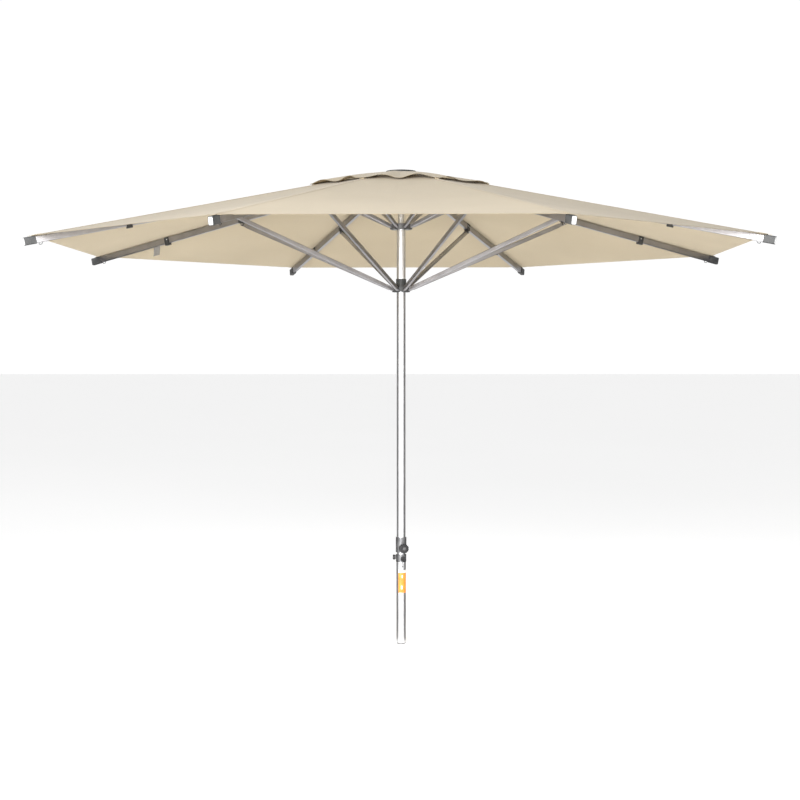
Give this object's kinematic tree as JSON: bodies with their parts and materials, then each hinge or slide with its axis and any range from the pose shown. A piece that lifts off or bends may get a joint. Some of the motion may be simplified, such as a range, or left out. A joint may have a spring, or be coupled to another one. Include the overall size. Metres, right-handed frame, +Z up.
{
  "type": "patio umbrella",
  "caption": "Large octagonal centre-pole patio umbrella with a vented beige canopy, hinged aluminium ribs and a telescoping pole, made to drop into a separate stand.",
  "frame": {"origin": "centre of the pole's foot, where the spigot starts", "axes": "+Z up along the pole; the ribs stand at 22.5 degrees from +X and every 45 degrees on; the knobs face -Y"},
  "size_m": [3.7116, 3.7116, 2.5631],
  "materials": {
    "satin_aluminium": "satin anodised",
    "cast_grey": "cast, powder coated",
    "steel": "plain stainless",
    "black_plastic": "moulded",
    "grey_plastic": "moulded",
    "label": "printed film",
    "canopy_cloth": "woven polyester"
  },
  "bodies": {
    "lower_pole": {"lower_tube": "satin_aluminium", "foot_plug": "black_plastic", "clamp_ring": "cast_grey", "pole_label": "label", "coupling_tube": "satin_aluminium"},
    "clamp_screw_front": {"clamp_screw_front": "black_plastic"},
    "clamp_screw_side": {"clamp_screw_side": "black_plastic"},
    "upper_mast": {"mast_tube": "satin_aluminium", "lock_sleeve": "cast_grey", "upper_star": "cast_grey", "mast_guide_bush": "black_plastic"},
    "lock_knob": {"lock_knob": "black_plastic"},
    "runner": {"runner_hub": "cast_grey", "runner_neck": "cast_grey"},
    "crown": {"inner_tube": "satin_aluminium", "inner_tube_slider": "black_plastic", "crown_hub": "cast_grey", "crown_pins": "steel", "top_cap": "grey_plastic", "cap_bolt": "steel"},
    "rib_1": {"rib_1": "satin_aluminium", "rib_fittings_1": "grey_plastic", "canopy_panel_1": "canopy_cloth"},
    "strut_1": {"strut_1": "satin_aluminium"},
    "stay_1": {"stay_1": "satin_aluminium"},
    "rib_2": {"rib_2": "satin_aluminium", "rib_fittings_2": "grey_plastic", "canopy_panel_2": "canopy_cloth"},
    "strut_2": {"strut_2": "satin_aluminium"},
    "stay_2": {"stay_2": "satin_aluminium"},
    "rib_3": {"rib_3": "satin_aluminium", "rib_fittings_3": "grey_plastic", "canopy_panel_3": "canopy_cloth"},
    "strut_3": {"strut_3": "satin_aluminium"},
    "stay_3": {"stay_3": "satin_aluminium"},
    "rib_4": {"rib_4": "satin_aluminium", "rib_fittings_4": "grey_plastic", "canopy_panel_4": "canopy_cloth"},
    "strut_4": {"strut_4": "satin_aluminium"},
    "stay_4": {"stay_4": "satin_aluminium"},
    "rib_5": {"rib_5": "satin_aluminium", "rib_fittings_5": "grey_plastic", "canopy_panel_5": "canopy_cloth"},
    "strut_5": {"strut_5": "satin_aluminium"},
    "stay_5": {"stay_5": "satin_aluminium"},
    "rib_6": {"rib_6": "satin_aluminium", "rib_fittings_6": "grey_plastic", "canopy_panel_6": "canopy_cloth"},
    "strut_6": {"strut_6": "satin_aluminium"},
    "stay_6": {"stay_6": "satin_aluminium"},
    "rib_7": {"rib_7": "satin_aluminium", "rib_fittings_7": "grey_plastic", "canopy_panel_7": "canopy_cloth"},
    "strut_7": {"strut_7": "satin_aluminium"},
    "stay_7": {"stay_7": "satin_aluminium"},
    "rib_8": {"rib_8": "satin_aluminium", "rib_fittings_8": "grey_plastic", "canopy_panel_8": "canopy_cloth"},
    "strut_8": {"strut_8": "satin_aluminium"},
    "stay_8": {"stay_8": "satin_aluminium"}
  },
  "joints": [
    {"name": "height_slide", "type": "slide", "parent": "lower_pole", "child": "upper_mast", "axis": [0, 0, 1], "range_m": [0, 0.2]},
    {"name": "telescope", "type": "slide", "parent": "upper_mast", "child": "crown", "axis": [0, 0, 1], "range_m": [0, 0.53167]},
    {"name": "runner_slide", "type": "slide", "parent": "upper_mast", "child": "runner", "axis": [0, 0, 1], "range_m": [-0.82023, 0]},
    {"name": "lock_knob_turn", "type": "hinge", "parent": "upper_mast", "child": "lock_knob", "pos_m": [0, 0, 0.517], "axis": [0.3256, -0.9455, 0], "range_deg": [0, 720]},
    {"name": "clamp_screw_front_turn", "type": "hinge", "parent": "lower_pole", "child": "clamp_screw_front", "pos_m": [0, 0, 0.459], "axis": [0.3256, -0.9455, 0], "range_deg": [0, 720]},
    {"name": "clamp_screw_side_turn", "type": "hinge", "parent": "lower_pole", "child": "clamp_screw_side", "pos_m": [0, 0, 0.466], "axis": [-1, 0, 0], "range_deg": [0, 720]},
    {"name": "rib_fold_1", "type": "hinge", "parent": "crown", "child": "rib_1", "pos_m": [0.04619, 0.01913, 2.53148], "axis": [-0.3827, 0.9239, 0], "range_deg": [0, 74.51], "deforming": ["canopy_panel_1"]},
    {"name": "strut_pivot_1", "type": "hinge", "parent": "rib_1", "child": "strut_1", "pos_m": [0.90544, 0.37505, 2.30313], "axis": [-0.3827, 0.9239, 0], "range_deg": [-140.1, 0]},
    {"name": "stay_pivot_1", "type": "hinge", "parent": "rib_1", "child": "stay_1", "pos_m": [0.39732, 0.16458, 2.42208], "axis": [-0.3827, 0.9239, 0], "range_deg": [-141.35, 0]},
    {"name": "rib_fold_2", "type": "hinge", "parent": "crown", "child": "rib_2", "pos_m": [0.01913, 0.04619, 2.53148], "axis": [-0.9239, 0.3827, 0], "range_deg": [0, 74.51], "deforming": ["canopy_panel_2"]},
    {"name": "strut_pivot_2", "type": "hinge", "parent": "rib_2", "child": "strut_2", "pos_m": [0.37505, 0.90544, 2.30313], "axis": [-0.9239, 0.3827, 0], "range_deg": [-140.1, 0]},
    {"name": "stay_pivot_2", "type": "hinge", "parent": "rib_2", "child": "stay_2", "pos_m": [0.16458, 0.39732, 2.42208], "axis": [-0.9239, 0.3827, 0], "range_deg": [-141.35, 0]},
    {"name": "rib_fold_3", "type": "hinge", "parent": "crown", "child": "rib_3", "pos_m": [-0.01913, 0.04619, 2.53148], "axis": [-0.9239, -0.3827, 0], "range_deg": [0, 74.51], "deforming": ["canopy_panel_3"]},
    {"name": "strut_pivot_3", "type": "hinge", "parent": "rib_3", "child": "strut_3", "pos_m": [-0.37505, 0.90544, 2.30313], "axis": [-0.9239, -0.3827, 0], "range_deg": [-140.1, 0]},
    {"name": "stay_pivot_3", "type": "hinge", "parent": "rib_3", "child": "stay_3", "pos_m": [-0.16458, 0.39732, 2.42208], "axis": [-0.9239, -0.3827, 0], "range_deg": [-141.35, 0]},
    {"name": "rib_fold_4", "type": "hinge", "parent": "crown", "child": "rib_4", "pos_m": [-0.04619, 0.01913, 2.53148], "axis": [-0.3827, -0.9239, 0], "range_deg": [0, 74.51], "deforming": ["canopy_panel_4"]},
    {"name": "strut_pivot_4", "type": "hinge", "parent": "rib_4", "child": "strut_4", "pos_m": [-0.90544, 0.37505, 2.30313], "axis": [-0.3827, -0.9239, 0], "range_deg": [-140.1, 0]},
    {"name": "stay_pivot_4", "type": "hinge", "parent": "rib_4", "child": "stay_4", "pos_m": [-0.39732, 0.16458, 2.42208], "axis": [-0.3827, -0.9239, 0], "range_deg": [-141.35, 0]},
    {"name": "rib_fold_5", "type": "hinge", "parent": "crown", "child": "rib_5", "pos_m": [-0.04619, -0.01913, 2.53148], "axis": [0.3827, -0.9239, 0], "range_deg": [0, 74.51], "deforming": ["canopy_panel_5"]},
    {"name": "strut_pivot_5", "type": "hinge", "parent": "rib_5", "child": "strut_5", "pos_m": [-0.90544, -0.37505, 2.30313], "axis": [0.3827, -0.9239, 0], "range_deg": [-140.1, 0]},
    {"name": "stay_pivot_5", "type": "hinge", "parent": "rib_5", "child": "stay_5", "pos_m": [-0.39732, -0.16458, 2.42208], "axis": [0.3827, -0.9239, 0], "range_deg": [-141.35, 0]},
    {"name": "rib_fold_6", "type": "hinge", "parent": "crown", "child": "rib_6", "pos_m": [-0.01913, -0.04619, 2.53148], "axis": [0.9239, -0.3827, 0], "range_deg": [0, 74.51], "deforming": ["canopy_panel_6"]},
    {"name": "strut_pivot_6", "type": "hinge", "parent": "rib_6", "child": "strut_6", "pos_m": [-0.37505, -0.90544, 2.30313], "axis": [0.9239, -0.3827, 0], "range_deg": [-140.1, 0]},
    {"name": "stay_pivot_6", "type": "hinge", "parent": "rib_6", "child": "stay_6", "pos_m": [-0.16458, -0.39732, 2.42208], "axis": [0.9239, -0.3827, 0], "range_deg": [-141.35, 0]},
    {"name": "rib_fold_7", "type": "hinge", "parent": "crown", "child": "rib_7", "pos_m": [0.01913, -0.04619, 2.53148], "axis": [0.9239, 0.3827, 0], "range_deg": [0, 74.51], "deforming": ["canopy_panel_7"]},
    {"name": "strut_pivot_7", "type": "hinge", "parent": "rib_7", "child": "strut_7", "pos_m": [0.37505, -0.90544, 2.30313], "axis": [0.9239, 0.3827, 0], "range_deg": [-140.1, 0]},
    {"name": "stay_pivot_7", "type": "hinge", "parent": "rib_7", "child": "stay_7", "pos_m": [0.16458, -0.39732, 2.42208], "axis": [0.9239, 0.3827, 0], "range_deg": [-141.35, 0]},
    {"name": "rib_fold_8", "type": "hinge", "parent": "crown", "child": "rib_8", "pos_m": [0.04619, -0.01913, 2.53148], "axis": [0.3827, 0.9239, 0], "range_deg": [0, 74.51], "deforming": ["canopy_panel_8"]},
    {"name": "strut_pivot_8", "type": "hinge", "parent": "rib_8", "child": "strut_8", "pos_m": [0.90544, -0.37505, 2.30313], "axis": [0.3827, 0.9239, 0], "range_deg": [-140.1, 0]},
    {"name": "stay_pivot_8", "type": "hinge", "parent": "rib_8", "child": "stay_8", "pos_m": [0.39732, -0.16458, 2.42208], "axis": [0.3827, 0.9239, 0], "range_deg": [-141.35, 0]}
  ],
  "couplings": [
    {"joint": "runner_slide", "follows": "telescope", "ratio": -1.5424},
    {"joint": "rib_fold_1", "follows": "telescope", "rad_per_m": 2.4456},
    {"joint": "strut_pivot_1", "follows": "telescope", "rad_per_m": -4.5989},
    {"joint": "stay_pivot_1", "follows": "telescope", "rad_per_m": -4.6398},
    {"joint": "rib_fold_2", "follows": "telescope", "rad_per_m": 2.4456},
    {"joint": "strut_pivot_2", "follows": "telescope", "rad_per_m": -4.5989},
    {"joint": "stay_pivot_2", "follows": "telescope", "rad_per_m": -4.6398},
    {"joint": "rib_fold_3", "follows": "telescope", "rad_per_m": 2.4456},
    {"joint": "strut_pivot_3", "follows": "telescope", "rad_per_m": -4.5989},
    {"joint": "stay_pivot_3", "follows": "telescope", "rad_per_m": -4.6398},
    {"joint": "rib_fold_4", "follows": "telescope", "rad_per_m": 2.4456},
    {"joint": "strut_pivot_4", "follows": "telescope", "rad_per_m": -4.5989},
    {"joint": "stay_pivot_4", "follows": "telescope", "rad_per_m": -4.6398},
    {"joint": "rib_fold_5", "follows": "telescope", "rad_per_m": 2.4456},
    {"joint": "strut_pivot_5", "follows": "telescope", "rad_per_m": -4.5989},
    {"joint": "stay_pivot_5", "follows": "telescope", "rad_per_m": -4.6398},
    {"joint": "rib_fold_6", "follows": "telescope", "rad_per_m": 2.4456},
    {"joint": "strut_pivot_6", "follows": "telescope", "rad_per_m": -4.5989},
    {"joint": "stay_pivot_6", "follows": "telescope", "rad_per_m": -4.6398},
    {"joint": "rib_fold_7", "follows": "telescope", "rad_per_m": 2.4456},
    {"joint": "strut_pivot_7", "follows": "telescope", "rad_per_m": -4.5989},
    {"joint": "stay_pivot_7", "follows": "telescope", "rad_per_m": -4.6398},
    {"joint": "rib_fold_8", "follows": "telescope", "rad_per_m": 2.4456},
    {"joint": "strut_pivot_8", "follows": "telescope", "rad_per_m": -4.5989},
    {"joint": "stay_pivot_8", "follows": "telescope", "rad_per_m": -4.6398}
  ]
}
